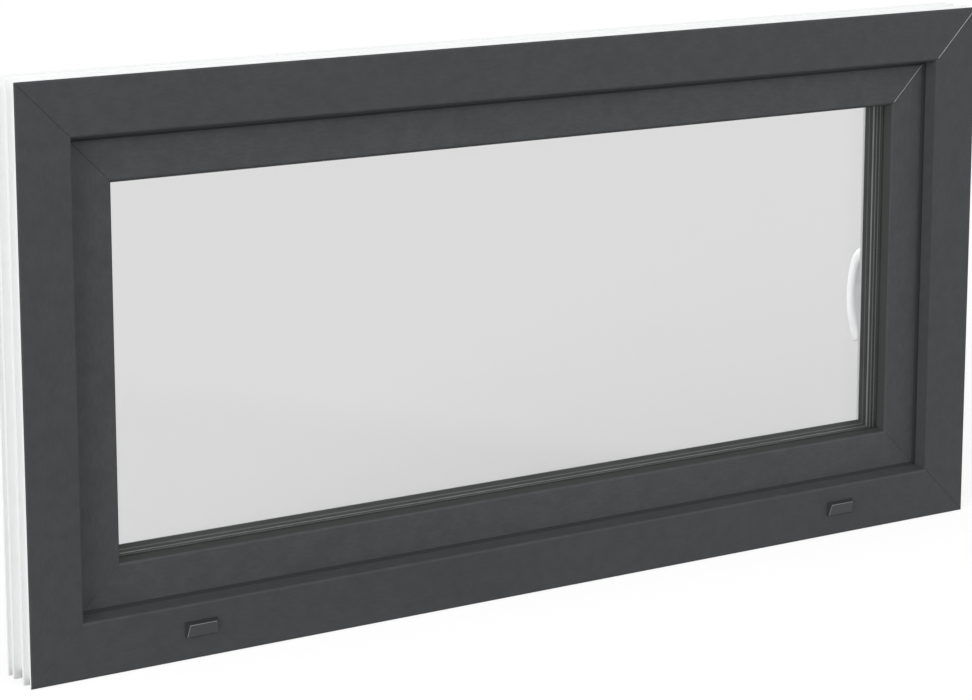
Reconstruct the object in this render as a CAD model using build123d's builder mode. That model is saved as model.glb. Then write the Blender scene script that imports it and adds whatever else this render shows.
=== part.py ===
"""Inward-opening basement window, 1000 x 500 mm, with a double-glazed sash.

X runs to the right as seen from outside, Y runs into the building and Z runs up.
Every ring of the window (frame, sash, beads, gaskets, spacer) is one section, drawn in two
coordinates: the inset from the frame's outer edge, and the depth behind the outside face.
The origin is on the underside of the sill, in the middle of the rear foot that carries the window.
"""
from build123d import *
import os

# Overall size
window_width = 1000.0
window_height = 500.0

# Outer frame section
frame_face_width = 48.0
frame_depth = 47.0
reveal_slope = 4.0
stop_lip_depth = 13.0
rebate_floor_inset = 32.0
flange_foot_depth = 2.5
front_foot_start = 14.0
front_foot_width = 3.5
rear_foot_start = 33.75
rear_foot_width = 3.5
back_foot_width = 2.5
front_channel_depth = 5.0
middle_channel_depth = 7.0
back_channel_depth = 4.5
face_edge_radius = 2.5
front_edge_radius = 2.0
outer_edge_radius = 1.0
mitre_groove_width = 0.45

# Sash section
sash_set_back = 15.0
sash_depth = 50.0
hardware_gap = 12.0
sash_sightline = 89.0
glazing_lip_depth = 9.0
glazing_lip_slope = 2.5
glazing_rebate_height = 14.0
flange_overlap = 8.0
flange_gap = 3.0
hardware_groove_width = 16.0
hardware_groove_depth = 3.0
sash_edge_radius = 2.5
stop_gasket_width = 10.0
stop_gasket_nose = 2.0

# Glazing
pane_thickness = 4.0
cavity = 16.0
glass_edge_gap = 4.0
edge_seal_width = 3.0
spacer_width = 6.6
gasket_thickness = 2.0
outer_gasket_nose = 0.3
outer_gasket_width = 9.0
inner_gasket_width = 10.0
inner_gasket_nose = 1.2
packer_length = 100.0
packer_corner_distance = 50.0

# Beads
bead_set_back = 1.0
bead_height = 19.0
bead_slope = 7.5
bead_tongue = 2.5
bead_tongue_width = 3.0
clip_clearance = 0.2

# Drain caps and slots
drain_cap_length = 31.0
drain_cap_height = 13.0
drain_cap_depth = 5.0
drain_cap_lower_depth = 2.4
drain_cap_top_fall = 2.2
drain_cap_end_slope = 3.2
drain_cap_edge_radius = 0.7
drain_cap_wall = 1.2
drain_cap_corner_distance = 156.0
drain_cap_rise = 20.5
drain_slot_length = 22.0
drain_slot_height = 5.0
drain_slot_depth = 3.0

# Handle
rosette_width = 30.0
rosette_height = 66.0
rosette_depth = 9.0
rosette_draft = 6.0
rosette_rim_radius = 2.2
handle_inset = 52.0
neck_diameter = 19.0
neck_length = 15.5
lever_width = 21.0
lever_thickness = 12.5
lever_edge_radius = 5.5
lever_end_radius = 1.0
elbow_radius = 14.0
elbow_turn = 72.0
bow_radius = 105.0
bow_turn = 44.0
spindle_size = 7.0
spindle_reach = 32.0
spindle_clearance = 2.5

# Hinges
knuckle_diameter = 15.0
knuckle_length = 32.0
hinge_pin_diameter = 7.0
hinge_pin_head = 3.0
hinge_edge_distance = 62.0
hinge_foot_width = 11.0
hinge_clearance = 0.3
hinge_stand_off = 1.0

# Places worked out from the sizes above
foot_middle = rear_foot_start + rear_foot_width / 2
lip_inset = frame_face_width + reveal_slope
sash_outer_inset = rebate_floor_inset + hardware_gap
sash_back = sash_set_back + sash_depth
glazing_start = sash_set_back + glazing_lip_depth
glass_front = glazing_start + gasket_thickness
cavity_front = glass_front + pane_thickness
cavity_back = cavity_front + cavity
glass_back = cavity_back + pane_thickness
bead_front = glass_back + gasket_thickness
bead_back = sash_back - bead_set_back
lip_edge_inset = sash_sightline + glazing_lip_slope
glazing_floor_inset = sash_sightline - glazing_rebate_height
glass_inset = glazing_floor_inset + glass_edge_gap
flange_inset = rebate_floor_inset - flange_overlap
flange_front = frame_depth + flange_gap
bead_inset = glazing_floor_inset + bead_height


class Side:
    """One side of the window: the way inwards, and how long the outer edge is."""

    def __init__(self, name, inward, length, middle):
        self.name = name
        self.inward = Vector(inward)
        self.length = length
        self.middle = Vector(middle)
        self.run = self.inward.cross(Vector(0, 1, 0))

    def section_plane(self):
        """Local X is the inset from the outer edge and local Y is the depth behind the face."""
        front = self.middle - Vector(0, foot_middle, 0)
        return Plane(origin=front, x_dir=self.inward, z_dir=self.run)

    def mitre_planes(self):
        """The 45 degree planes at both ends, each facing away from the member."""
        for end in (1, -1):
            corner = self.middle + self.run * (end * self.length / 2)
            yield Plane(origin=corner, z_dir=self.run * end + self.inward)


bottom_side = Side("bottom", (0, 0, 1), window_width, (0, 0, 0))
top_side = Side("top", (0, 0, -1), window_width, (0, 0, window_height))
left_side = Side("left", (1, 0, 0), window_height, (-window_width / 2, 0, window_height / 2))
right_side = Side("right", (-1, 0, 0), window_height, (window_width / 2, 0, window_height / 2))
sides = (bottom_side, top_side, left_side, right_side)


def mitred_length(side, section, grooved_depths=()):
    """Extrude a section along one side, cut both ends to 45 degrees and groove the seams on show."""
    with BuildPart() as member:
        extrude(section(side.section_plane()), amount=side.length / 2, both=True)
        for mitre in side.mitre_planes():
            split(bisect_by=mitre, keep=Keep.BOTTOM)
            for depth in grooved_depths:
                seam_start = mitre.origin + Vector(0, depth - foot_middle, 0)
                along_seam = mitre.z_dir.cross(Vector(0, 1, 0))
                with BuildSketch(Plane(origin=seam_start, x_dir=mitre.z_dir, z_dir=along_seam)):
                    Rectangle(mitre_groove_width, mitre_groove_width, rotation=45)
                extrude(amount=2 * lip_edge_inset, both=True, mode=Mode.SUBTRACT)
    return member.part


def mitred_ring(section):
    """Join the four mitred lengths of one section into a closed ring."""
    with BuildPart() as ring:
        for side in sides:
            add(mitred_length(side, section))
    return ring.part


def corners_near(section, *places):
    """The corners of a section that lie at the given places."""
    return [section.vertices().sort_by_distance(place)[0] for place in places]


def frame_section(plane):
    """Frame profile: a stop lip at the front, a rebate behind it, and feet with channels outside."""
    front_foot_end = front_foot_start + front_foot_width
    rear_foot_end = rear_foot_start + rear_foot_width
    back_foot_start = frame_depth - back_foot_width
    with BuildSketch(plane) as section:
        with BuildLine():
            Polyline(
                (0, 0),
                (frame_face_width, 0),
                (lip_inset, stop_lip_depth),
                (rebate_floor_inset, stop_lip_depth),
                (rebate_floor_inset, frame_depth),
                (0, frame_depth),
                (0, back_foot_start),
                (back_channel_depth, back_foot_start),
                (back_channel_depth, rear_foot_end),
                (0, rear_foot_end),
                (0, rear_foot_start),
                (middle_channel_depth, rear_foot_start),
                (middle_channel_depth, front_foot_end),
                (0, front_foot_end),
                (0, front_foot_start),
                (front_channel_depth, front_foot_start),
                (front_channel_depth, flange_foot_depth),
                (0, flange_foot_depth),
                close=True,
            )
        make_face()
        fillet(corners_near(section, (frame_face_width, 0)), radius=face_edge_radius)
        fillet(corners_near(section, (0, 0)), radius=front_edge_radius)
        small_corners = ((lip_inset, stop_lip_depth), (rebate_floor_inset, frame_depth))
        fillet(corners_near(section, *small_corners), radius=outer_edge_radius)
    return section.sketch


def sash_section(plane):
    """Sash profile: glazing lip, glass rebate with a clip groove, and a flange over the frame."""
    groove_middle = (sash_set_back + flange_front) / 2
    groove_front = groove_middle - hardware_groove_width / 2
    groove_back = groove_middle + hardware_groove_width / 2
    groove_floor = sash_outer_inset + hardware_groove_depth
    tongue_front = (bead_front + bead_back - bead_tongue_width) / 2 - clip_clearance
    tongue_back = tongue_front + bead_tongue_width + 2 * clip_clearance
    clip_floor = glazing_floor_inset - bead_tongue - clip_clearance
    with BuildSketch(plane) as section:
        with BuildLine():
            Polyline(
                (sash_outer_inset, sash_set_back),
                (sash_sightline, sash_set_back),
                (lip_edge_inset, glazing_start),
                (glazing_floor_inset, glazing_start),
                (glazing_floor_inset, tongue_front),
                (clip_floor, tongue_front),
                (clip_floor, tongue_back),
                (glazing_floor_inset, tongue_back),
                (glazing_floor_inset, sash_back),
                (flange_inset, sash_back),
                (flange_inset, flange_front),
                (sash_outer_inset, flange_front),
                (sash_outer_inset, groove_back),
                (groove_floor, groove_back),
                (groove_floor, groove_front),
                (sash_outer_inset, groove_front),
                close=True,
            )
        make_face()
        wide_corners = ((sash_sightline, sash_set_back), (flange_inset, sash_back))
        fillet(corners_near(section, *wide_corners), radius=sash_edge_radius)
        small_corners = ((sash_outer_inset, sash_set_back), (flange_inset, flange_front))
        fillet(corners_near(section, *small_corners), radius=outer_edge_radius)
    return section.sketch


def bead_section(plane):
    """Glazing bead: sloping inner side, with a tongue that clips into the sash."""
    tongue_front = (bead_front + bead_back - bead_tongue_width) / 2
    tongue_back = tongue_front + bead_tongue_width
    tongue_end = glazing_floor_inset - bead_tongue
    with BuildSketch(plane) as section:
        with BuildLine():
            Polyline(
                (glazing_floor_inset, bead_front),
                (bead_inset, bead_front),
                (bead_inset - bead_slope, bead_back),
                (glazing_floor_inset, bead_back),
                (glazing_floor_inset, tongue_back),
                (tongue_end, tongue_back),
                (tongue_end, tongue_front),
                (glazing_floor_inset, tongue_front),
                close=True,
            )
        make_face()
        fillet(corners_near(section, (bead_inset - bead_slope, bead_back)), radius=sash_edge_radius)
    return section.sketch


def stop_gasket_section(plane):
    """Bulb between the frame's stop lip and the sash face."""
    gap = sash_set_back - stop_lip_depth
    nose = lip_inset + stop_gasket_nose
    root = nose - stop_gasket_width
    with BuildSketch(plane) as section:
        with BuildLine():
            Polyline(
                (root, stop_lip_depth),
                (lip_inset - outer_edge_radius, stop_lip_depth),
                ((lip_inset + nose) / 2, stop_lip_depth + gap / 2),
                (nose, sash_set_back),
                (root, sash_set_back),
                close=True,
            )
        make_face()
    return section.sketch


def outer_glazing_gasket_section(plane):
    """Wedge between the glazing lip and the outer pane, with a nose past the lip."""
    start = lip_edge_inset - outer_gasket_width
    with BuildSketch(plane) as section:
        with BuildLine():
            Polyline(
                (start, glazing_start),
                (lip_edge_inset, glazing_start),
                (lip_edge_inset + outer_gasket_nose, glass_front),
                (start, glass_front),
                close=True,
            )
        make_face()
    return section.sketch


def inner_glazing_gasket_section(plane):
    """Wedge between the inner pane and the bead, with a nose past the bead."""
    start = bead_inset - inner_gasket_width
    with BuildSketch(plane) as section:
        with BuildLine():
            Polyline(
                (start, glass_back),
                (bead_inset + inner_gasket_nose, glass_back),
                (bead_inset, bead_front),
                (start, bead_front),
                close=True,
            )
        make_face()
    return section.sketch


def overlap_gasket_section(plane):
    """Strip between the frame's room side and the sash flange."""
    with BuildSketch(plane) as section:
        with Locations((flange_inset + flange_overlap / 2, frame_depth + flange_gap / 2)):
            Rectangle(flange_overlap / 2, flange_gap)
    return section.sketch


def edge_seal_section(plane):
    """Sealant between the panes, outside the spacer."""
    with BuildSketch(plane) as section:
        with Locations((glass_inset + edge_seal_width / 2, (cavity_front + cavity_back) / 2)):
            Rectangle(edge_seal_width, cavity)
    return section.sketch


def spacer_section(plane):
    """Spacer bar between the panes."""
    spacer_middle = glass_inset + edge_seal_width + spacer_width / 2
    with BuildSketch(plane) as section:
        with Locations((spacer_middle, (cavity_front + cavity_back) / 2)):
            Rectangle(spacer_width, cavity)
    return section.sketch


def pane(front):
    """One sheet of glass whose front face lies at the given depth."""
    with BuildPart() as sheet:
        with BuildSketch(Plane.XZ.offset(foot_middle - front)):
            with Locations((0, window_height / 2)):
                Rectangle(window_width - 2 * glass_inset, window_height - 2 * glass_inset)
        extrude(amount=-pane_thickness)
    return sheet.part


def glazing_packers():
    """Blocks under, over and beside the glass, as deep as the unit."""
    unit_middle = (glass_front + glass_back) / 2 - foot_middle
    unit_depth = glass_back - glass_front
    inset = glazing_floor_inset + glass_edge_gap / 2
    across = window_width / 2 - glass_inset - packer_corner_distance - packer_length / 2
    with BuildPart() as packers:
        for height in (inset, window_height - inset):
            with Locations((-across, unit_middle, height), (across, unit_middle, height)):
                Box(packer_length, unit_depth, glass_edge_gap)
        for place in (inset - window_width / 2, window_width / 2 - inset):
            with Locations((place, unit_middle, window_height / 2)):
                Box(glass_edge_gap, unit_depth, packer_length)
    return packers.part


def hood(across, wall):
    """Wedge that leans out from the sill's face, drawn inwards by a wall thickness."""
    face = -foot_middle
    top = drain_cap_rise + drain_cap_height - wall
    half = drain_cap_length / 2 - wall
    front_half = half - drain_cap_end_slope
    reach = drain_cap_depth - wall
    with BuildPart() as wedge:
        with BuildSketch(Plane.YZ.offset(across)):
            with BuildLine():
                Polyline(
                    (face, drain_cap_rise),
                    (face, top),
                    (face - reach, top - drain_cap_top_fall),
                    (face - drain_cap_lower_depth + wall, drain_cap_rise),
                    close=True,
                )
            make_face()
        extrude(amount=half, both=True)
        with BuildSketch(Plane.XY.offset(drain_cap_rise)):
            with BuildLine():
                Polyline(
                    (across - half, face),
                    (across - front_half, face - reach),
                    (across + front_half, face - reach),
                    (across + half, face),
                    close=True,
                )
            make_face()
        extrude(amount=drain_cap_height, mode=Mode.INTERSECT)
    return wedge.part


def drain_cap(across):
    """Hooded cap over a drain slot, deeper at the top and open underneath."""
    with BuildPart() as cap:
        add(hood(across, 0))
        front = cap.faces().sort_by(lambda face: face.center().Y)[0]
        fillet(front.edges(), radius=drain_cap_edge_radius)
        add(hood(across, drain_cap_wall), mode=Mode.SUBTRACT)
    return cap.part


def handle_rosette(across, height):
    """Rounded cover plate with the neck's seat, bored for the spindle."""
    with BuildPart() as rosette:
        with BuildSketch(Plane.XZ.offset(foot_middle - sash_back)):
            with Locations((across, height)):
                RectangleRounded(rosette_width, rosette_height, rosette_width / 2 - outer_edge_radius)
        extrude(amount=-rosette_depth, taper=rosette_draft)
        rim = rosette.faces().sort_by(Axis.Y)[-1].edges()
        fillet(rim, radius=rosette_rim_radius)
        with BuildSketch(Plane.XZ.offset(foot_middle - sash_back)):
            with Locations((across, height)):
                Circle(spindle_size / 2 + spindle_clearance)
        extrude(amount=-rosette_depth, mode=Mode.SUBTRACT)
    return rosette.part


def handle_lever(across, height):
    """Lever that leaves the rosette as a round neck, turns down at an elbow and bows outwards."""
    seat = sash_back + rosette_depth - foot_middle
    elbow_start = seat + neck_length
    with BuildPart() as lever:
        with BuildLine(Plane.YZ.offset(across)) as path:
            elbow = JernArc((elbow_start, height), (1, 0), elbow_radius, -elbow_turn)
            bow = JernArc(elbow @ 1, elbow % 1, bow_radius, -bow_turn)
        with BuildSketch(Plane(origin=elbow @ 0, x_dir=(1, 0, 0), z_dir=elbow % 0)):
            Circle(neck_diameter / 2)
        for place, way in ((elbow @ 1, elbow % 1), (bow @ 1, bow % 1)):
            with BuildSketch(Plane(origin=place, x_dir=(1, 0, 0), z_dir=way)):
                RectangleRounded(lever_width, lever_thickness, lever_edge_radius)
        sweep(path=path.wires()[0], multisection=True)
        end = lever.faces().sort_by(Axis.Z)[0]
        fillet(end.edges(), radius=lever_end_radius)
        with BuildSketch(Plane.XZ.offset(-seat)):
            with Locations((across, height)):
                Circle(neck_diameter / 2)
        extrude(amount=-neck_length)
    return lever.part


def handle_spindle(across, height):
    """Square spindle between the lever's neck and the gear inside the sash."""
    seat = sash_back + rosette_depth - foot_middle
    with BuildPart() as spindle:
        with BuildSketch(Plane.XZ.offset(-seat)):
            with Locations((across, height)):
                Rectangle(spindle_size, spindle_size)
        extrude(amount=spindle_reach)
    return spindle.part


def build_frame():
    """The four members of the outer frame."""
    names = ("frame_sill", "frame_head", "frame_jamb_left", "frame_jamb_right")
    members = {}
    for name, side in zip(names, sides):
        members[name] = mitred_length(side, frame_section, (0, frame_depth))
    with BuildPart() as sill:
        add(members["frame_sill"])
        with BuildSketch(Plane.XZ.offset(foot_middle)):
            slot_height = drain_cap_rise + drain_cap_height / 2
            with Locations((-drain_cap_across, slot_height), (drain_cap_across, slot_height)):
                SlotOverall(drain_slot_length, drain_slot_height)
        extrude(amount=-drain_slot_depth, mode=Mode.SUBTRACT)
    members["frame_sill"] = sill.part
    return members


def build_sash():
    """The four members of the sash, the right one bored for the spindle."""
    members = {}
    for side in sides:
        members["sash_" + side.name] = mitred_length(side, sash_section, (sash_set_back, sash_back))
    with BuildPart() as stile:
        add(members["sash_right"])
        with BuildSketch(Plane.XZ.offset(foot_middle - sash_back)):
            with Locations((handle_across, handle_height)):
                Circle(spindle_size / 2 + spindle_clearance)
        extrude(amount=spindle_reach, mode=Mode.SUBTRACT)
    members["sash_right"] = stile.part
    return members


def build_hinge(level):
    """A frame knuckle with its foot, a sash knuckle with its leaf, and the pin."""
    across = flange_inset - hinge_foot_width - window_width / 2
    axis_depth = frame_depth + hinge_stand_off + knuckle_diameter / 2 - foot_middle
    frame_back = frame_depth - foot_middle
    leaf_end = flange_inset - window_width / 2
    leaf_thickness = knuckle_diameter / 2
    joint_plane = Plane.XY.offset(level + hinge_clearance / 2)
    with BuildPart() as frame_knuckle:
        with BuildSketch(Plane.XY.offset(level - hinge_clearance / 2)):
            with Locations((across, axis_depth)):
                Circle(knuckle_diameter / 2)
            with Locations((across, (frame_back + axis_depth) / 2)):
                Rectangle(hinge_foot_width, axis_depth - frame_back)
            with Locations((across, axis_depth)):
                Circle(hinge_pin_diameter / 2 + hinge_clearance, mode=Mode.SUBTRACT)
        extrude(amount=-knuckle_length)
    with BuildPart() as sash_knuckle:
        with BuildSketch(joint_plane):
            with Locations((across, axis_depth)):
                Circle(knuckle_diameter / 2)
            with Locations(((across + leaf_end) / 2, axis_depth)):
                Rectangle(leaf_end - across, leaf_thickness)
            with Locations((across, axis_depth)):
                Circle(hinge_pin_diameter / 2 + hinge_clearance, mode=Mode.SUBTRACT)
        extrude(amount=knuckle_length)
    with BuildPart() as pin:
        with BuildSketch(Plane.XY.offset(level - hinge_clearance / 2 - knuckle_length)):
            with Locations((across, axis_depth)):
                Circle(hinge_pin_diameter / 2)
        extrude(amount=2 * knuckle_length + hinge_clearance)
        with BuildSketch(Plane.XY.offset(level + hinge_clearance / 2 + knuckle_length)):
            with Locations((across, axis_depth)):
                Circle(knuckle_diameter / 2)
        extrude(amount=hinge_pin_head)
    return frame_knuckle.part, sash_knuckle.part, pin.part


drain_cap_across = window_width / 2 - drain_cap_corner_distance
handle_across = window_width / 2 - handle_inset
handle_height = window_height / 2

pieces = {}
pieces.update(build_frame())
pieces.update(build_sash())
for side in sides:
    pieces["bead_" + side.name] = mitred_length(side, bead_section, (bead_back,))
pieces["stop_gasket"] = mitred_ring(stop_gasket_section)
pieces["overlap_gasket"] = mitred_ring(overlap_gasket_section)
pieces["outer_glazing_gasket"] = mitred_ring(outer_glazing_gasket_section)
pieces["inner_glazing_gasket"] = mitred_ring(inner_glazing_gasket_section)
pieces["edge_seal"] = mitred_ring(edge_seal_section)
pieces["spacer_frame"] = mitred_ring(spacer_section)
pieces["outer_pane"] = pane(glass_front)
pieces["inner_pane"] = pane(cavity_back)
pieces["glazing_packers"] = glazing_packers()
pieces["drain_cap_left"] = drain_cap(-drain_cap_across)
pieces["drain_cap_right"] = drain_cap(drain_cap_across)
pieces["handle_rosette"] = handle_rosette(handle_across, handle_height)
pieces["handle_lever"] = handle_lever(handle_across, handle_height)
pieces["handle_spindle"] = handle_spindle(handle_across, handle_height)
for hinge_name, hinge_level in (
    ("upper", window_height - hinge_edge_distance),
    ("lower", hinge_edge_distance),
):
    hinge_parts = build_hinge(hinge_level)
    for part_name, part in zip(("frame_knuckle", "sash_knuckle", "pin"), hinge_parts):
        pieces[hinge_name + "_hinge_" + part_name] = part

os.makedirs("parts", exist_ok=True)
for name, piece in pieces.items():
    piece.label = name
    export_step(piece, "parts/" + name + ".step")
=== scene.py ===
"""Looks of an inward-opening basement window: foil-covered PVC profiles, double glazing and fittings.

The row frame has X to the right as seen from outside, Y into the building and Z up, in metres. Insets are
measured in from the frame's outer edge, and depths behind the frame's outside face.
"""

from __future__ import annotations

import logging
import math
from dataclasses import dataclass
from enum import Enum
from typing import Any

import bpy
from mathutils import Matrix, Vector

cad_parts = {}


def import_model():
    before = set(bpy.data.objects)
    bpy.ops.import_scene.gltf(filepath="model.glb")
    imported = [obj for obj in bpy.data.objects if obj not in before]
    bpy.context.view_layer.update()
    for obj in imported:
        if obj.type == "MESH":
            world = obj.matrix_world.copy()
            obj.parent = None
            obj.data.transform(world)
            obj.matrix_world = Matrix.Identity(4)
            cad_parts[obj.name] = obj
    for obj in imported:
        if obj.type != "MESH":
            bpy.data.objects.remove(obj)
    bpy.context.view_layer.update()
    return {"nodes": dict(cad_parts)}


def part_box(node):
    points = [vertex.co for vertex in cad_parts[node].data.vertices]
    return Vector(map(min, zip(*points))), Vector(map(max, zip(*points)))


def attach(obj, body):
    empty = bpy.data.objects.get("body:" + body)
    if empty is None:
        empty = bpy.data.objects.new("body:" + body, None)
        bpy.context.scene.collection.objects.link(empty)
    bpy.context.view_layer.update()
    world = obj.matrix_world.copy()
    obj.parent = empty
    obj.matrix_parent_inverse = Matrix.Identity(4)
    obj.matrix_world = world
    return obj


LOG = logging.getLogger("basement_window")
BODY = "root"
MILLIMETRE = 0.001
WHITE = (1.0, 1.0, 1.0, 1.0)
# Numbers of the Mix node's colour sockets, whose names its other kinds share
COLOUR_A = 6
COLOUR_B = 7
COLOUR_RESULT = 2


class Grain(Enum):
    """The way the embossed grain runs on a profile."""

    LEVEL = "level"
    UPRIGHT = "upright"


def linear(hex_colour: str) -> tuple[float, float, float, float]:
    """Turn an sRGB hex colour into linear RGBA.

    Args:
        hex_colour: The colour as "#RRGGBB".

    Returns:
        Linear red, green and blue, with an alpha of 1.
    """
    levels = [int(hex_colour[at : at + 2], 16) / 255 for at in (1, 3, 5)]
    # The curve of the sRGB standard, straight in the darkest tones
    values = [
        level / 12.92 if level <= 0.04045 else ((level + 0.055) / 1.055) ** 2.4 for level in levels
    ]
    return (values[0], values[1], values[2], 1.0)


def add_node(
    tree: bpy.types.NodeTree, kind: str, inputs: dict[Any, Any] | None = None, **settings: Any
) -> bpy.types.Node:
    """Add one node with its settings, values and links.

    Args:
        tree: The node tree that gets the node.
        kind: The node's type name.
        inputs: Each input by name or number, with a value or the socket it is linked to.
        **settings: Properties of the node itself.

    Returns:
        The new node.
    """
    node = tree.nodes.new(kind)
    for name, value in settings.items():
        setattr(node, name, value)
    for name, value in (inputs or {}).items():
        if isinstance(value, bpy.types.NodeSocket):
            tree.links.new(value, node.inputs[name])
        else:
            node.inputs[name].default_value = value
    return node


def new_material(name: str) -> tuple[bpy.types.Material, bpy.types.NodeTree]:
    """Make an empty node material.

    Args:
        name: The material's name.

    Returns:
        The material and its node tree.
    """
    material = bpy.data.materials.new(name)
    material.use_nodes = True
    material.node_tree.nodes.clear()
    return material, material.node_tree


def by_ray(
    tree: bpy.types.NodeTree, otherwise: float, looked_at: float, through_glass: float
) -> bpy.types.NodeSocket:
    """Give one value to what the camera or a mirror sees, one through glass, and one to all other light.

    Args:
        tree: The node tree that gets the nodes.
        otherwise: The value for light that falls on matt surfaces.
        looked_at: The value for camera and mirror rays.
        through_glass: The value for rays that have passed glass.

    Returns:
        The socket with the value.
    """
    rays = add_node(tree, "ShaderNodeLightPath").outputs
    looked = add_node(
        tree, "ShaderNodeMath", {0: rays["Is Camera Ray"], 1: rays["Is Glossy Ray"]}, operation="MAXIMUM"
    ).outputs[0]
    plain = add_node(
        tree, "ShaderNodeMapRange", {"Value": looked, "To Min": otherwise, "To Max": looked_at}
    ).outputs[0]
    return add_node(
        tree,
        "ShaderNodeMapRange",
        {"Value": rays["Is Transmission Ray"], "To Min": plain, "To Max": through_glass},
    ).outputs[0]


@dataclass(frozen=True)
class FoilReach:
    """How far the outside foil and the grey seal reach on a profile, as places in the row frame."""

    face_end: float
    seal_start: float
    reveal_end: float = 0.0
    reveal_half_width: float = 0.0
    reveal_low: float = 0.0
    reveal_high: float = 0.0


@dataclass(frozen=True)
class FoilOnProfile:
    """PVC-U extrusion, white through, with a matt dark grey acrylic foil pressed on outside.

    The foil is embossed with a fine grain, which dulls and breaks up the highlight along each length,
    and it mottles slightly where the press roller bore harder. The bare body has a soft satin gloss,
    and the seal that is welded on behind the foil is a dull grey.
    """

    name: str
    grain: Grain
    reach: FoilReach
    foil: str = "#3B3D3F"
    foil_dark: str = "#343639"
    seal: str = "#343735"
    body: str = "#F5F6F6"
    foil_roughness: float = 0.68
    body_roughness: float = 0.38
    refraction_index: float = 1.5
    # Real pores are about 0.3 mm wide, too fine to show, so they are drawn about seven times as wide
    pore_length: float = 7.0 * MILLIMETRE
    pore_width: float = 2.0 * MILLIMETRE
    roller_mottle: float = 13.0 * MILLIMETRE
    pattern_detail: float = 3.0
    # The span of pores times mottle that takes the foil from its dark tone to its light one
    tone_low: float = 0.14
    tone_high: float = 0.36
    emboss_depth: float = 0.06 * MILLIMETRE
    emboss_strength: float = 0.25

    def material(self) -> bpy.types.Material:
        """Build the material: grained foil, grey seal and bare body, one over the other.

        Returns:
            The material.
        """
        material, tree = new_material(self.name)
        place = add_node(tree, "ShaderNodeTexCoord").outputs["Object"]
        parts = add_node(tree, "ShaderNodeSeparateXYZ", {0: place}).outputs
        on_foil = self._foil_mask(tree, parts)
        bare = add_node(tree, "ShaderNodeMath", {0: 1.0, 1: on_foil}, operation="SUBTRACT").outputs[0]
        on_seal = add_node(
            tree, "ShaderNodeMath", {0: parts["Y"], 1: self.reach.seal_start}, operation="GREATER_THAN"
        ).outputs[0]
        pores, tone = self._pores(tree, place)
        colour: Any = linear(self.foil_dark)
        for mask, over in ((tone, self.foil), (on_seal, self.seal), (bare, self.body)):
            colour = add_node(
                tree,
                "ShaderNodeMix",
                {"Factor": mask, COLOUR_A: colour, COLOUR_B: linear(over)},
                data_type="RGBA",
            ).outputs[COLOUR_RESULT]
        rough = add_node(
            tree,
            "ShaderNodeMapRange",
            {"Value": on_foil, "To Min": self.body_roughness, "To Max": self.foil_roughness},
        ).outputs[0]
        strength = add_node(
            tree, "ShaderNodeMath", {0: on_foil, 1: self.emboss_strength}, operation="MULTIPLY"
        ).outputs[0]
        emboss = add_node(
            tree, "ShaderNodeBump", {"Strength": strength, "Distance": self.emboss_depth, "Height": pores}
        ).outputs[0]
        shader = add_node(
            tree,
            "ShaderNodeBsdfPrincipled",
            {"Base Color": colour, "Roughness": rough, "Normal": emboss, "IOR": self.refraction_index},
        )
        add_node(tree, "ShaderNodeOutputMaterial", {"Surface": shader.outputs[0]})
        return material

    def _pores(
        self, tree: bpy.types.NodeTree, place: bpy.types.NodeSocket
    ) -> tuple[bpy.types.NodeSocket, bpy.types.NodeSocket]:
        """Make the embossed pores, which run along the profile, and the tone they give.

        Args:
            tree: The material's node tree.
            place: The socket with the place on the object.

        Returns:
            The sockets of the pores' height and of the tone from 0 to 1.
        """
        along, across = 1 / self.pore_length, 1 / self.pore_width
        scale = (along, across, across) if self.grain is Grain.LEVEL else (across, across, along)
        stretched = add_node(tree, "ShaderNodeMapping", {"Vector": place, "Scale": scale}).outputs[0]
        pores, mottle = (
            add_node(
                tree, "ShaderNodeTexNoise", {"Vector": at, "Scale": count, "Detail": self.pattern_detail}
            ).outputs[0]
            for at, count in ((stretched, 1.0), (place, 1 / self.roller_mottle))
        )
        both = add_node(tree, "ShaderNodeMath", {0: pores, 1: mottle}, operation="MULTIPLY").outputs[0]
        tone = add_node(
            tree,
            "ShaderNodeMapRange",
            {"Value": both, "From Min": self.tone_low, "From Max": self.tone_high},
        ).outputs[0]
        return pores, tone

    def _foil_mask(self, tree: bpy.types.NodeTree, parts: Any) -> bpy.types.NodeSocket:
        """Give 1 where the foil covers the profile, on its face or in its reveal, and 0 where it is bare.

        Args:
            tree: The material's node tree.
            parts: The X, Y and Z sockets of the place on the object.

        Returns:
            The socket with the mask.
        """
        reach = self.reach
        side = add_node(tree, "ShaderNodeMath", {0: parts["X"]}, operation="ABSOLUTE").outputs[0]
        tests = (
            (parts["Y"], reach.face_end, "LESS_THAN"),
            (parts["Y"], reach.reveal_end, "LESS_THAN"),
            (side, reach.reveal_half_width, "LESS_THAN"),
            (parts["Z"], reach.reveal_low, "GREATER_THAN"),
            (parts["Z"], reach.reveal_high, "LESS_THAN"),
        )
        face, inside, *others = (
            add_node(tree, "ShaderNodeMath", {0: value, 1: limit}, operation=way).outputs[0]
            for value, limit, way in tests
        )
        for other in others:
            inside = add_node(tree, "ShaderNodeMath", {0: inside, 1: other}, operation="MULTIPLY").outputs[0]
        return add_node(tree, "ShaderNodeMath", {0: face, 1: inside}, operation="MAXIMUM").outputs[0]


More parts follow.
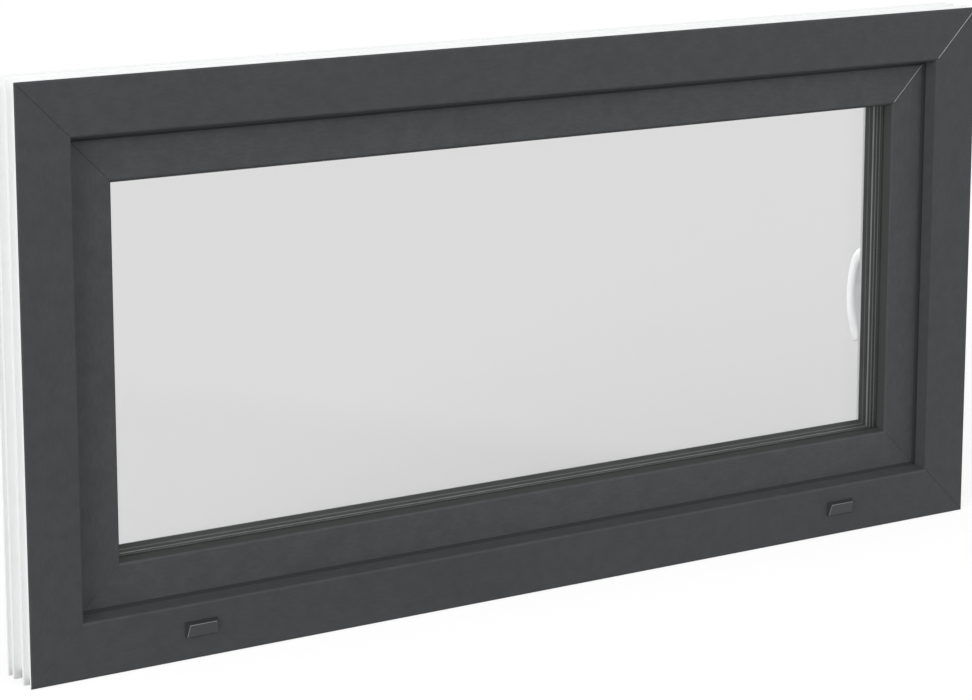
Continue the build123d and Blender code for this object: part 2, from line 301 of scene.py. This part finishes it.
@dataclass(frozen=True)
class PlainFinish:
    """One moulded, extruded or coated finish whose gloss and tone vary a little over the surface."""

    name: str
    colour: str
    roughness: float
    metallic: float = 0.0
    mottle: float = 0.04
    specular: float = 0.5
    roughness_spread: float = 0.1
    # Cloudiness of the die, mould or spray, about as wide as a fingertip
    mottle_size: float = 17.0 * MILLIMETRE
    mottle_detail: float = 4.0
    # The tool's own fine texture, which shows only as a softer gloss
    relief: float = 0.01 * MILLIMETRE
    relief_size: float = 0.3 * MILLIMETRE
    relief_detail: float = 2.0
    relief_strength: float = 0.2

    def material(self) -> bpy.types.Material:
        """Build the material: a tone and a gloss that follow one cloudy pattern, and a fine relief.

        Returns:
            The material.
        """
        material, tree = new_material(self.name)
        place = add_node(tree, "ShaderNodeTexCoord").outputs["Object"]
        patterns = ((self.mottle_size, self.mottle_detail), (self.relief_size, self.relief_detail))
        cloud, fine = (
            add_node(
                tree, "ShaderNodeTexNoise", {"Vector": place, "Scale": 1 / size, "Detail": detail}
            ).outputs[0]
            for size, detail in patterns
        )
        base = linear(self.colour)
        darker = tuple(level * (1 - self.mottle) for level in base[:3]) + (1.0,)
        tone = add_node(
            tree, "ShaderNodeMix", {"Factor": cloud, COLOUR_A: darker, COLOUR_B: base}, data_type="RGBA"
        ).outputs[COLOUR_RESULT]
        rough = add_node(
            tree,
            "ShaderNodeMapRange",
            {
                "Value": cloud,
                "To Min": self.roughness * (1 - self.roughness_spread),
                "To Max": self.roughness * (1 + self.roughness_spread),
            },
        ).outputs[0]
        bump = add_node(
            tree,
            "ShaderNodeBump",
            {"Strength": self.relief_strength, "Distance": self.relief, "Height": fine},
        ).outputs[0]
        shader = add_node(
            tree,
            "ShaderNodeBsdfPrincipled",
            {
                "Base Color": tone,
                "Roughness": rough,
                "Metallic": self.metallic,
                "Specular IOR Level": self.specular,
                "Normal": bump,
            },
        )
        add_node(tree, "ShaderNodeOutputMaterial", {"Surface": shader.outputs[0]})
        return material


@dataclass(frozen=True)
class MouldedCap:
    """Dark grey ASA moulding: smooth front, a painted highlight on its rounded edge, and drafted sides
    painted near black as shade, with the mould's dull texture.

    The front leans back towards its foot, so the lines between the finishes lean with it.
    """

    lean: float
    front_end: float
    highlight_end: float
    name: str = "moulded_grey_asa_cap"
    front: str = "#393B3D"
    # The edge's light colour is a painted highlight, and the sides' near black is painted shade
    edge: str = "#75787A"
    sides: str = "#1D1E1F"
    roughness: float = 0.35
    side_roughness: float = 0.8

    def material(self) -> bpy.types.Material:
        """Build the material: the front's colour, then the edge's painted highlight, then the sides' painted
        shade.

        Returns:
            The material.
        """
        material, tree = new_material(self.name)
        place = add_node(tree, "ShaderNodeTexCoord").outputs["Object"]
        parts = add_node(tree, "ShaderNodeSeparateXYZ", {0: place}).outputs
        leaned = add_node(
            tree, "ShaderNodeMath", {0: parts["Z"], 1: self.lean, 2: parts["Y"]}, operation="MULTIPLY_ADD"
        ).outputs[0]
        # Masks of the painted highlight on the edge and of the painted shade on the sides
        off_front, on_shaded_sides = (
            add_node(tree, "ShaderNodeMath", {0: leaned, 1: limit}, operation="GREATER_THAN").outputs[0]
            for limit in (self.front_end, self.highlight_end)
        )
        colour: Any = linear(self.front)
        for mask, over in ((off_front, self.edge), (on_shaded_sides, self.sides)):
            colour = add_node(
                tree,
                "ShaderNodeMix",
                {"Factor": mask, COLOUR_A: colour, COLOUR_B: linear(over)},
                data_type="RGBA",
            ).outputs[COLOUR_RESULT]
        dull = add_node(
            tree,
            "ShaderNodeMapRange",
            {"Value": on_shaded_sides, "To Min": self.roughness, "To Max": self.side_roughness},
        ).outputs[0]
        shader = add_node(tree, "ShaderNodeBsdfPrincipled", {"Base Color": colour, "Roughness": dull})
        add_node(tree, "ShaderNodeOutputMaterial", {"Surface": shader.outputs[0]})
        return material


@dataclass(frozen=True)
class FloatGlass:
    """Clear float glass with a neutral coat that holds its reflections down."""

    name: str = "coated_float_glass"
    colour: str = "#FDFDFD"
    refraction_index: float = 1.25

    def material(self) -> bpy.types.Material:
        """Build the material.

        Returns:
            The material.
        """
        material, tree = new_material(self.name)
        shader = add_node(
            tree,
            "ShaderNodeBsdfPrincipled",
            {
                "Base Color": linear(self.colour),
                "Roughness": 0.0,
                "IOR": self.refraction_index,
                "Transmission Weight": 1.0,
            },
        )
        add_node(tree, "ShaderNodeOutputMaterial", {"Surface": shader.outputs[0]})
        return material


Finish = FoilOnProfile | PlainFinish | MouldedCap | FloatGlass


@dataclass
class WindowSizes:
    """Sizes read from the frame, which every sub-assembly works from."""

    low: Vector
    high: Vector
    face: float
    half_width: float

    @classmethod
    def from_frame(cls) -> WindowSizes:
        """Read the outer frame's corners from the CAD nodes.

        Returns:
            The window's sizes.
        """
        low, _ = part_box("frame_sill")
        _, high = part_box("frame_head")
        return cls(low=low, high=high, face=low.y, half_width=high.x)

    def corners(self, inset: float, depth: float) -> list[Vector]:
        """Give the four corners of a rectangle inside the frame.

        Args:
            inset: Distance in from the frame's outer edge.
            depth: Distance behind the frame's outside face.

        Returns:
            The corners, going round from the lower left one.
        """
        across = self.half_width - inset
        low, high = self.low.z + inset, self.high.z - inset
        place = self.face + depth
        return [
            Vector((-across, place, low)),
            Vector((across, place, low)),
            Vector((across, place, high)),
            Vector((-across, place, high)),
        ]


def new_piece(
    name: str, points: list[Vector], faces: list[tuple[int, ...]], edges: list[tuple[int, int]] | None = None
) -> bpy.types.Object:
    """Make a mesh object at the origin.

    Args:
        name: The object's name.
        points: Its vertices in the row frame.
        faces: Its faces as vertex numbers.
        edges: Its loose edges as vertex numbers, for a wire.

    Returns:
        The new object.
    """
    mesh = bpy.data.meshes.new(name)
    mesh.from_pydata([tuple(point) for point in points], edges or [], faces)
    mesh.validate()
    mesh.update()
    piece = bpy.data.objects.new(name, mesh)
    bpy.context.scene.collection.objects.link(piece)
    return piece


def strip(
    sizes: WindowSizes, name: str, insets: tuple[float, float], depths: tuple[float, float]
) -> bpy.types.Object:
    """Run a thin rectangular section round the window, with mitred corners.

    Args:
        sizes: The window's sizes.
        name: The piece's name.
        insets: Where it starts and ends, measured in from the frame's outer edge.
        depths: Where it starts and ends, measured behind the frame's face.

    Returns:
        The new piece.
    """
    near, far = insets
    front, back = depths
    section = ((near, front), (far, front), (far, back), (near, back))
    points = [corner for inset, depth in section for corner in sizes.corners(inset, depth)]
    faces = []
    for at in range(4):
        after = (at + 1) % 4
        for corner in range(4):
            turned = (corner + 1) % 4
            faces.append((4 * at + corner, 4 * at + turned, 4 * after + turned, 4 * after + corner))
    return new_piece(name, points, faces)


def keep_piece(
    piece: bpy.types.Object, material: bpy.types.Material | None = None
) -> bpy.types.Object:
    """Finish a scene piece: its material and its body.

    Args:
        piece: The piece.
        material: Its material, or nothing where it already has one.

    Returns:
        The same piece.
    """
    if material is not None:
        piece.data.materials.clear()
        piece.data.materials.append(material)
    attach(piece, BODY)
    return piece


@dataclass(frozen=True)
class SeamHighlight:
    """White thread in the mitre groove of the upper right corner, a painted highlight.

    The saw has trimmed the foil there and the white body shows, and the thread is painted bright at this
    corner alone as the highlight that the groove's facet catches.
    """

    name: str
    insets: tuple[float, float]
    depth: float
    width: float
    below_face: float = 0.1 * MILLIMETRE
    thickness: float = 0.03 * MILLIMETRE
    # Melted PVC-U, cooled in the open: clean white with a soft gloss, here a painted highlight
    thread: PlainFinish = PlainFinish("white_seam_highlight", "#F1F3F4", 0.4)

    def build(self, sizes: WindowSizes) -> bpy.types.Object:
        """Lay the thread along the mitre.

        Args:
            sizes: The window's sizes.

        Returns:
            The finished piece.
        """
        half_width = Vector((1.0, 0.0, -1.0)).normalized() * self.width / 2
        front = sizes.face + self.depth + self.below_face
        points = []
        for inset in self.insets:
            for place in (front, front + self.thickness):
                middle = Vector((sizes.half_width - inset, place, sizes.high.z - inset))
                points += [middle - half_width, middle + half_width]
        faces = [(0, 1, 3, 2), (4, 6, 7, 5), (0, 4, 5, 1), (2, 3, 7, 6), (0, 2, 6, 4), (1, 5, 7, 3)]
        return keep_piece(new_piece(self.name, points, faces), self.thread.material())


class VentSlotTree:
    """Geometry Nodes tree that sets small slots at an even pitch along a wire."""

    def __init__(self) -> None:
        """Build the tree and remember its named inputs."""
        self.tree = bpy.data.node_groups.new("vent_slots", "GeometryNodeTree")
        self.inputs: dict[str, str] = {}
        self._add_input("Wire", "NodeSocketGeometry")
        for name in ("Pitch", "Slot Length", "Slot Width", "Slot Depth"):
            self._add_input(name, "NodeSocketFloat")
        self._add_input("Slot Material", "NodeSocketMaterial")
        self.tree.interface.new_socket("Slots", in_out="OUTPUT", socket_type="NodeSocketGeometry")
        self._build()

    def _add_input(self, name: str, kind: str) -> None:
        """Add one named input.

        Args:
            name: The input's name.
            kind: The socket's type.
        """
        socket = self.tree.interface.new_socket(name, in_out="INPUT", socket_type=kind)
        self.inputs[name] = socket.identifier

    def _build(self) -> None:
        """Link the tree's nodes, from the wire to the finished slots."""
        tree = self.tree
        given = add_node(tree, "NodeGroupInput").outputs
        curve = add_node(tree, "GeometryNodeMeshToCurve", {"Mesh": given["Wire"]}).outputs[0]
        places = add_node(
            tree, "GeometryNodeResampleCurve", {"Curve": curve, "Length": given["Pitch"]}, mode="LENGTH"
        ).outputs[0]
        along = add_node(tree, "GeometryNodeInputTangent").outputs[0]
        turn = add_node(tree, "FunctionNodeAlignRotationToVector", {"Vector": along}, axis="X").outputs[0]
        size = add_node(
            tree,
            "ShaderNodeCombineXYZ",
            {"X": given["Slot Length"], "Y": given["Slot Width"], "Z": given["Slot Depth"]},
        ).outputs[0]
        slot = add_node(tree, "GeometryNodeMeshCube", {"Size": size}).outputs[0]
        placed = add_node(
            tree, "GeometryNodeInstanceOnPoints", {"Points": places, "Instance": slot, "Rotation": turn}
        ).outputs[0]
        real = add_node(tree, "GeometryNodeRealizeInstances", {"Geometry": placed}).outputs[0]
        done = add_node(
            tree, "GeometryNodeSetMaterial", {"Geometry": real, "Material": given["Slot Material"]}
        ).outputs[0]
        add_node(tree, "NodeGroupOutput", {0: done})

    def bake(self, wire: bpy.types.Object, values: dict[str, Any]) -> None:
        """Run the tree on a wire and keep the result as a plain mesh.

        Args:
            wire: The object whose edges carry the slots.
            values: The tree's inputs by name.
        """
        modifier = wire.modifiers.new("vent_slots", "NODES")
        modifier.node_group = self.tree
        for name, value in values.items():
            modifier[self.inputs[name]] = value
        wire.update_tag()
        bpy.context.view_layer.update()
        graph = bpy.context.evaluated_depsgraph_get()
        mesh = bpy.data.meshes.new_from_object(wire.evaluated_get(graph), depsgraph=graph)
        wire.modifiers.remove(modifier)
        wire.data = mesh


@dataclass
class SubAssembly:
    """A group of the window's pieces that are finished together."""

    sizes: WindowSizes

    def finishes(self) -> list[tuple[Finish, tuple[str, ...]]]:
        """List the group's finishes, each with the CAD nodes that have it."""
        raise NotImplementedError

    def dress(self, nodes: dict[str, bpy.types.Object]) -> list[str]:
        """Give the group's CAD nodes their materials.

        Args:
            nodes: The CAD nodes by name.

        Returns:
            The names of the dressed nodes.
        """
        dressed: list[str] = []
        for finish, names in self.finishes():
            material = finish.material()
            for name in names:
                nodes[name].data.materials.clear()
                nodes[name].data.materials.append(material)
            dressed.extend(names)
        return dressed

    def add_pieces(self) -> list[bpy.types.Object]:
        """Make the group's own trim, which is none where the CAD nodes are complete."""
        return []


@dataclass
class OuterFrame(SubAssembly):
    """The four foil-covered members of the outer frame."""

    face_wrap: float = 1.0 * MILLIMETRE
    reveal_depth: float = 13.6 * MILLIMETRE
    reveal_inset: float = 40.0 * MILLIMETRE
    seam: SeamHighlight = SeamHighlight(
        "frame_seam_highlight", (1.0 * MILLIMETRE, 46.5 * MILLIMETRE), 0.0, 0.36 * MILLIMETRE
    )

    def finishes(self) -> list[tuple[Finish, tuple[str, ...]]]:
        """Cover the face, the edge's wrap and the reveal with foil.

        Returns:
            The frame's finishes with their nodes.
        """
        sizes = self.sizes
        reach = FoilReach(
            face_end=sizes.face + self.face_wrap,
            seal_start=sizes.face + self.reveal_depth,
            reveal_end=sizes.face + self.reveal_depth,
            reveal_half_width=sizes.half_width - self.reveal_inset,
            reveal_low=sizes.low.z + self.reveal_inset,
            reveal_high=sizes.high.z - self.reveal_inset,
        )
        level = FoilOnProfile("embossed_foil_on_level_frame", Grain.LEVEL, reach)
        upright = FoilOnProfile("embossed_foil_on_upright_frame", Grain.UPRIGHT, reach)
        return [
            (level, ("frame_sill", "frame_head")),
            (upright, ("frame_jamb_left", "frame_jamb_right")),
        ]

    def add_pieces(self) -> list[bpy.types.Object]:
        """Add the painted highlight seam at the frame's upper right corner."""
        return [self.seam.build(self.sizes)]


@dataclass
class Sash(SubAssembly):
    """The four foil-covered members of the sash and its white beads."""

    lip_depth: float = 16.4 * MILLIMETRE
    foil_depth: float = 24.5 * MILLIMETRE
    # The sash's foil tones are lighter than the frame's: painted light that makes up for the shade of the
    # frame's recess, with the grain's contrast kept lower too
    foil: str = "#414345"
    foil_dark: str = "#383A3D"
    seam: SeamHighlight = SeamHighlight(
        "sash_seam_highlight", (53.0 * MILLIMETRE, 87.5 * MILLIMETRE), 15.0 * MILLIMETRE, 0.25 * MILLIMETRE
    )
    # Extruded PVC-U with a matt skin: plain white that takes hardly any highlight
    bead: PlainFinish = PlainFinish("white_pvc_bead", "#E2E4E4", 0.55, mottle=0.01, specular=0.25)

    def finishes(self) -> list[tuple[Finish, tuple[str, ...]]]:
        """Cover the outside with foil, up to the lip's grey seal, and leave the room side white.

        Returns:
            The sash's finishes with their nodes.
        """
        face = self.sizes.face
        reach = FoilReach(face_end=face + self.foil_depth, seal_start=face + self.lip_depth)
        painted_light_tones = {"foil": self.foil, "foil_dark": self.foil_dark}
        level = FoilOnProfile("embossed_foil_on_level_sash", Grain.LEVEL, reach, **painted_light_tones)
        upright = FoilOnProfile("embossed_foil_on_upright_sash", Grain.UPRIGHT, reach, **painted_light_tones)
        return [
            (level, ("sash_bottom", "sash_top")),
            (upright, ("sash_left", "sash_right")),
            (self.bead, ("bead_bottom", "bead_top", "bead_left", "bead_right")),
        ]

    def add_pieces(self) -> list[bpy.types.Object]:
        """Add the painted highlight seam at the sash's upper right corner."""
        return [self.seam.build(self.sizes)]


@dataclass
class Glazing(SubAssembly):
    """The double-glazed unit with its spacer, seals and packers."""

    glass_back: float = 50.0 * MILLIMETRE
    contact_insets: tuple[float, float] = (84.5 * MILLIMETRE, 94.5 * MILLIMETRE)
    coating_insets: tuple[float, float] = (89.8 * MILLIMETRE, 91.0 * MILLIMETRE)
    contact_press: float = 0.04 * MILLIMETRE
    contact_thickness: float = 0.3 * MILLIMETRE
    spacer_inset: float = 88.6 * MILLIMETRE
    band_sunk: float = 0.2 * MILLIMETRE
    band_proud: float = 0.25 * MILLIMETRE
    rear_edge: tuple[float, float] = (43.4 * MILLIMETRE, 45.2 * MILLIMETRE)
    rear_rib: tuple[float, float] = (38.8 * MILLIMETRE, 39.7 * MILLIMETRE)
    front_rib: tuple[float, float] = (34.2 * MILLIMETRE, 35.0 * MILLIMETRE)
    vent_middle: float = 36.9 * MILLIMETRE
    slot_pitch: float = 4.0 * MILLIMETRE
    slot_length: float = 2.0 * MILLIMETRE
    slot_width: float = 0.5 * MILLIMETRE
    slot_depth: float = 0.1 * MILLIMETRE
    # Extruded EPDM rubber: near black, dull and a little blotchy, so that joints read as dark lines
    rubber: PlainFinish = PlainFinish("black_epdm_gasket", "#252928", 0.7, mottle=0.2, specular=0.3)
    # Extruded soft TPE: a dull grey edge between the white bead and the glass
    soft_grey: PlainFinish = PlainFinish("grey_tpe_gasket", "#A4A9A6", 0.7, mottle=0.2, specular=0.4)
    # The same TPE where it lies on the glass, coloured darker as painted shade
    painted_shade_tpe: PlainFinish = PlainFinish("grey_tpe_gasket_painted_shade", "#6E7370", 0.7, mottle=0.2, specular=0.4)
    # Slide coat sprayed along the gasket's lip: a pale line with a weak sheen
    coating: PlainFinish = PlainFinish("grey_slide_coating_on_gasket", "#999D9B", 0.5)
    # Polymer spacer bar, extruded: dark grey with a satin gloss along its bands
    bar: PlainFinish = PlainFinish("dark_grey_warm_edge_spacer", "#3C403E", 0.45)
    # Stainless foil rolled round the bar's edge: a bright line, blurred by the rolling
    steel: PlainFinish = PlainFinish("thin_stainless_spacer_edge", "#CCD0CD", 0.35, metallic=0.4)
    # Rib rolled up out of the bar: painted paler than the bar as a highlight along its band, and softly
    # glossy
    rib_highlight: PlainFinish = PlainFinish("grey_spacer_rib_painted_highlight", "#8E918F", 0.5)
    # Slot punched in the bar: black, as no light comes back from inside
    slot: PlainFinish = PlainFinish("dark_vent_slot", "#0C0C0C", 0.8)
    # Polysulphide sealant, trowelled flush: black and matt
    sealant: PlainFinish = PlainFinish("black_polysulphide_sealant", "#141414", 0.7)
    # Moulded polypropylene packer: smooth mid blue with a waxy gloss
    packer: PlainFinish = PlainFinish("blue_polypropylene_packer", "#3A6EA5", 0.4)

    def finishes(self) -> list[tuple[Finish, tuple[str, ...]]]:
        """Name the finish of each pane, gasket, bar and block.

        Returns:
            The glazing's finishes with their nodes.
        """
        return [
            (FloatGlass(), ("outer_pane", "inner_pane")),
            (self.rubber, ("outer_glazing_gasket", "stop_gasket", "overlap_gasket")),
            (self.soft_grey, ("inner_glazing_gasket",)),
            (self.bar, ("spacer_frame",)),
            (self.sealant, ("edge_seal",)),
            (self.packer, ("glazing_packers",)),
        ]

    def add_pieces(self) -> list[bpy.types.Object]:
        """Add the fine lines that show at the edge of the glass.

        Returns:
            The finished pieces.
        """
        # Gasket and coating lie a hair inside the glass, as faces at its own depth would flicker
        press = self.contact_press
        back = self.glass_back + self.contact_thickness
        band = (self.spacer_inset - self.band_sunk, self.spacer_inset + self.band_proud)
        painted_shade_gasket, slide, steel, rib_highlight = (
            finish.material() for finish in (self.painted_shade_tpe, self.coating, self.steel, self.rib_highlight)
        )
        lines = (
            # The gasket's face on the glass takes the TPE in painted shade
            ("gasket_contact_face", self.contact_insets, (self.glass_back - press, back), painted_shade_gasket),
            ("gasket_slide_coating", self.coating_insets, (self.glass_back - 2 * press, back), slide),
            ("spacer_rear_edge", band, self.rear_edge, steel),
            # The ribs take a paler colour as a painted highlight
            ("spacer_rear_rib", band, self.rear_rib, rib_highlight),
            ("spacer_front_rib", band, self.front_rib, rib_highlight),
        )
        pieces = []
        for name, insets, depths, material in lines:
            pieces.append(keep_piece(strip(self.sizes, name, insets, depths), material))
        return pieces + [self._vent_slots()]

    def _vent_slots(self) -> bpy.types.Object:
        """Set the slots through which the spacer's drying agent reaches the cavity.

        Returns:
            The finished piece.
        """
        corners = self.sizes.corners(self.spacer_inset, self.vent_middle)
        wire = new_piece("spacer_vent_slots", corners, [], [(0, 1), (1, 2), (2, 3), (3, 0)])
        VentSlotTree().bake(
            wire,
            {
                "Pitch": self.slot_pitch,
                "Slot Length": self.slot_length,
                "Slot Width": self.slot_width,
                "Slot Depth": self.slot_depth,
                "Slot Material": self.slot.material(),
            },
        )
        return keep_piece(wire)


@dataclass
class Fittings(SubAssembly):
    """Handle, hinges and drain caps."""

    cap_depth: float = 5.0 * MILLIMETRE
    cap_foot_depth: float = 2.4 * MILLIMETRE
    cap_top_fall: float = 2.2 * MILLIMETRE
    # How far behind a cap's leaning front its front finish ends, and the painted highlight on its edge
    cap_front: float = 0.08 * MILLIMETRE
    cap_highlight: float = 0.5 * MILLIMETRE
    # Polyester powder coat on die-cast metal: smooth, even white with a clear gloss
    enamel: PlainFinish = PlainFinish("white_powder_coat", "#F2F3F4", 0.28, mottle=0.01)
    # Zinc-plated steel, turned or drawn: cool bright grey with a slightly blurred shine
    plated: PlainFinish = PlainFinish("zinc_plated_steel", "#C9CACC", 0.3, metallic=1.0)

    def finishes(self) -> list[tuple[Finish, tuple[str, ...]]]:
        """Name the finish of each fitting, with the caps' set out along their lean.

        Returns:
            The fittings' finishes with their nodes.
        """
        low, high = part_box("drain_cap_left")
        lean = (self.cap_depth - self.cap_foot_depth) / (high.z - low.z - self.cap_top_fall)
        foot = self.sizes.face - self.cap_foot_depth + lean * low.z
        cap = MouldedCap(lean, foot + self.cap_front, foot + self.cap_highlight)
        knuckles = tuple(
            f"{level}_hinge_{side}_knuckle" for level in ("upper", "lower") for side in ("frame", "sash")
        )
        return [
            (self.enamel, ("handle_rosette", "handle_lever", *knuckles)),
            (self.plated, ("handle_spindle", "upper_hinge_pin", "lower_hinge_pin")),
            (cap, ("drain_cap_left", "drain_cap_right")),
        ]


@dataclass(frozen=True)
class SoftLamp:
    """A square lamp that faces the window's middle."""

    name: str
    place: tuple[float, float, float]
    side: float
    power: float
    seen_through_glass: bool = True

    def hang(self, middle: Vector) -> None:
        """Hang the lamp and turn it to the window.

        Args:
            middle: The window's middle.
        """
        data = bpy.data.lights.new(self.name, "AREA")
        data.size = self.side
        data.energy = self.power
        lamp = bpy.data.objects.new(self.name, data)
        bpy.context.scene.collection.objects.link(lamp)
        lamp.location = self.place
        lamp.rotation_euler = (middle - Vector(self.place)).to_track_quat("-Z", "Y").to_euler()
        lamp.visible_transmission = self.seen_through_glass


@dataclass
class Studio:
    """Pale floor, white surroundings, soft lamps and the camera."""

    sizes: WindowSizes
    lens: float = 111.98
    sensor_width: float = 36.0
    shift_y: float = -0.1
    yaw: float = math.radians(32.63)
    pitch: float = math.radians(10.96)
    camera_place: tuple[float, float, float] = (-1.45715, -2.21827, 0.81980)
    # Brightness of the white surroundings: as light, and as seen through the glass
    surround: float = 0.74
    behind_glass: float = 0.68
    floor_size: float = 14.0
    floor_gap: float = 0.4 * MILLIMETRE
    floor_paper: str = "#8C8C8C"
    floor_glow: float = 0.74
    # What the lamps give the floor behind the glass, where glow and lamps together match the surroundings
    floor_light: float = 0.22
    # The room lamp stands behind the glass, where it would show as a white square
    lamps: tuple[SoftLamp, ...] = (
        SoftLamp("key_lamp", (5.1, -9.0, 5.2), 2.1, 250.0),
        SoftLamp("side_lamp", (-5.6, -2.6, 1.6), 3.5, 200.0),
        SoftLamp("room_lamp", (0.9, 9.5, 1.7), 2.0, 175.0, seen_through_glass=False),
        SoftLamp("fill_lamp", (5.8, 1.0, 0.9), 1.6, 80.0),
    )
    handle_lamp_place: tuple[float, float, float] = (-0.35, 0.27, 0.5)
    handle_lamp_beam: float = math.radians(14)
    handle_lamp_radius: float = 0.05
    handle_lamp_power: float = 20.0

    def build(self) -> None:
        """Make the floor, the world, the lamps and the camera."""
        self._floor()
        self._world()
        middle = (self.sizes.low + self.sizes.high) / 2
        for lamp in self.lamps:
            lamp.hang(middle)
        self._handle_lamp()
        self._camera()
        bpy.context.scene.view_settings.view_transform = "Standard"

    def _floor(self) -> None:
        """Make the pale floor that the window stands on, clear when looked at from underneath."""
        level = self.sizes.low.z - self.floor_gap
        bpy.ops.mesh.primitive_plane_add(size=self.floor_size, location=(0.0, 0.0, level))
        floor = bpy.context.object
        floor.name = "floor"
        material, tree = new_material("white_floor")
        paper = add_node(
            tree, "ShaderNodeBsdfDiffuse", {"Color": linear(self.floor_paper), "Roughness": 1.0}
        ).outputs[0]
        strength = by_ray(tree, 0.0, self.floor_glow, self.behind_glass - self.floor_light)
        glow = add_node(tree, "ShaderNodeEmission", {"Strength": strength}).outputs[0]
        lit = add_node(tree, "ShaderNodeAddShader", {0: paper, 1: glow}).outputs[0]
        underneath = add_node(tree, "ShaderNodeNewGeometry").outputs["Backfacing"]
        clear = add_node(tree, "ShaderNodeBsdfTransparent").outputs[0]
        shader = add_node(tree, "ShaderNodeMixShader", {0: underneath, 1: lit, 2: clear})
        add_node(tree, "ShaderNodeOutputMaterial", {"Surface": shader.outputs[0]})
        floor.data.materials.append(material)

    def _world(self) -> None:
        """Light from all round, seen as plain white by the camera and in gloss, and greyer through glass."""
        world = bpy.data.worlds.new("white_surroundings")
        bpy.context.scene.world = world
        world.use_nodes = True
        tree = world.node_tree
        tree.nodes.clear()
        strength = by_ray(tree, self.surround, 1.0, self.behind_glass)
        light = add_node(tree, "ShaderNodeBackground", {"Color": WHITE, "Strength": strength})
        add_node(tree, "ShaderNodeOutputWorld", {"Surface": light.outputs[0]})

    def _handle_lamp(self) -> None:
        """Add a narrow lamp on the room side that lights the lever alone and gives it a bright back."""
        data = bpy.data.lights.new("handle_lamp", "SPOT")
        data.energy = self.handle_lamp_power
        data.spot_size = self.handle_lamp_beam
        data.spot_blend = 1.0
        data.shadow_soft_size = self.handle_lamp_radius
        lamp = bpy.data.objects.new("handle_lamp", data)
        bpy.context.scene.collection.objects.link(lamp)
        low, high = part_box("handle_lever")
        lamp.location = self.handle_lamp_place
        lamp.rotation_euler = ((low + high) / 2 - lamp.location).to_track_quat("-Z", "Y").to_euler()
        lamp.visible_glossy = False
        lamp.visible_transmission = False
        lit = bpy.data.collections.new("lit_by_handle_lamp")
        lit.objects.link(bpy.data.objects["handle_lever"])
        lamp.light_linking.receiver_collection = lit

    def _camera(self) -> None:
        """Set the camera at the photograph's viewing angle."""
        data = bpy.data.cameras.new("camera")
        data.lens = self.lens
        data.sensor_width = self.sensor_width
        data.shift_y = self.shift_y
        camera = bpy.data.objects.new("camera", data)
        bpy.context.scene.collection.objects.link(camera)
        camera.location = self.camera_place
        camera.rotation_euler = (math.pi / 2 - self.pitch, 0.0, -self.yaw)
        bpy.context.scene.camera = camera


def main() -> None:
    """Dress the window, add its trim and set the studio."""
    logging.basicConfig(level=logging.INFO)
    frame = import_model()
    sizes = WindowSizes.from_frame()
    for group in (OuterFrame(sizes), Sash(sizes), Glazing(sizes), Fittings(sizes)):
        for name in group.dress(frame["nodes"]):
            LOG.info("dressed %s", name)
        for piece in group.add_pieces():
            LOG.info("made %s", piece.name)
    Studio(sizes).build()


if __name__ == "__main__":
    main()
